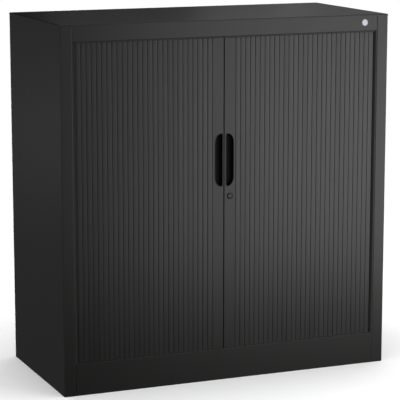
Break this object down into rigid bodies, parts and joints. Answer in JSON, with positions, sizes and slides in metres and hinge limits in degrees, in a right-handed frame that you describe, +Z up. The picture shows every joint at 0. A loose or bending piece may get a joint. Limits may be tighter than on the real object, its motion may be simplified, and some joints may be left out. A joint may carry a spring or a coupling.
{
  "type": "tambour door cabinet",
  "caption": "Floor-standing steel cabinet with two ribbed tambour doors that slide sideways into its walls, finger grips, a cam lock, lift-out shelves and levelling feet.",
  "frame": {"origin": "on the floor, midway across the width and depth of the case", "axes": "+Z up, the doors face -Y, +X to the right of someone facing the doors"},
  "size_m": [1, 0.4708, 1.04],
  "materials": {
    "powder_coat": "satin charcoal powder coat on folded steel sheet",
    "slat_plastic": "satin charcoal extruded PVC",
    "lead_aluminium": "charcoal powder coat on extruded aluminium",
    "track_plastic": "matt black moulded acetal",
    "black_plastic": "matt black moulded ABS",
    "zinc_steel": "bright zinc plate",
    "lock_metal": "black nickel plate",
    "badge_metal": "satin anodised"
  },
  "bodies": {
    "carcass": {"top_cover": "powder_coat", "left_side_panel": "powder_coat", "right_side_panel": "powder_coat", "kick_plate": "powder_coat", "back_panel": "powder_coat", "floor_tray": "powder_coat", "ceiling_tray": "powder_coat", "left_liner": "powder_coat", "right_liner": "powder_coat", "left_base_rail": "powder_coat", "right_base_rail": "powder_coat", "left_top_side_rail": "powder_coat", "right_top_side_rail": "powder_coat", "left_bottom_track": "track_plastic", "right_bottom_track": "track_plastic", "left_top_track": "track_plastic", "right_top_track": "track_plastic", "shelf_clips": "zinc_steel", "foot_nuts": "zinc_steel", "access_plugs": "black_plastic", "badge_disc": "badge_metal"},
    "left_door": {"left_lead_slat": "lead_aluminium", "left_grip_cup": "black_plastic", "left_guide_shoes": "track_plastic", "lock_keeper": "zinc_steel", "left_curtain": "slat_plastic"},
    "right_door": {"right_lead_slat": "lead_aluminium", "right_grip_cup": "black_plastic", "right_guide_shoes": "track_plastic", "lock_housing": "lock_metal", "lock_nut": "zinc_steel", "right_curtain": "slat_plastic"},
    "lock": {"lock_plug": "lock_metal", "lock_cam": "zinc_steel", "cam_screw": "zinc_steel"},
    "lower_shelf_board": {"lower_shelf": "powder_coat"},
    "upper_shelf_board": {"upper_shelf": "powder_coat"},
    "front_left_leveller": {"front_left_foot": "black_plastic", "front_left_foot_stem": "zinc_steel"},
    "front_right_leveller": {"front_right_foot": "black_plastic", "front_right_foot_stem": "zinc_steel"},
    "rear_left_leveller": {"rear_left_foot": "black_plastic", "rear_left_foot_stem": "zinc_steel"},
    "rear_right_leveller": {"rear_right_foot": "black_plastic", "rear_right_foot_stem": "zinc_steel"}
  },
  "joints": [
    {"name": "left_door_slide", "type": "slide", "parent": "carcass", "child": "left_door", "axis": [-1, 0, 0], "range_m": [0, 0.416], "deforming": ["left_curtain"]},
    {"name": "right_door_slide", "type": "slide", "parent": "carcass", "child": "right_door", "axis": [1, 0, 0], "range_m": [0, 0.444], "deforming": ["right_curtain"]},
    {"name": "lock_turn", "type": "hinge", "parent": "right_door", "child": "lock", "pos_m": [0.0045, -0.215, 0.537], "axis": [0, 1, 0], "range_deg": [0, 90]},
    {"name": "lower_shelf_lift", "type": "slide", "parent": "carcass", "child": "lower_shelf_board", "axis": [0, 0, 1], "range_m": [0, 0.03]},
    {"name": "upper_shelf_lift", "type": "slide", "parent": "carcass", "child": "upper_shelf_board", "axis": [0, 0, 1], "range_m": [0, 0.03]},
    {"name": "front_left_foot_height", "type": "slide", "parent": "carcass", "child": "front_left_leveller", "axis": [0, 0, -1], "range_m": [0, 0.015]},
    {"name": "front_right_foot_height", "type": "slide", "parent": "carcass", "child": "front_right_leveller", "axis": [0, 0, -1], "range_m": [0, 0.015]},
    {"name": "rear_left_foot_height", "type": "slide", "parent": "carcass", "child": "rear_left_leveller", "axis": [0, 0, -1], "range_m": [0, 0.015]},
    {"name": "rear_right_foot_height", "type": "slide", "parent": "carcass", "child": "rear_right_leveller", "axis": [0, 0, -1], "range_m": [0, 0.015]}
  ]
}
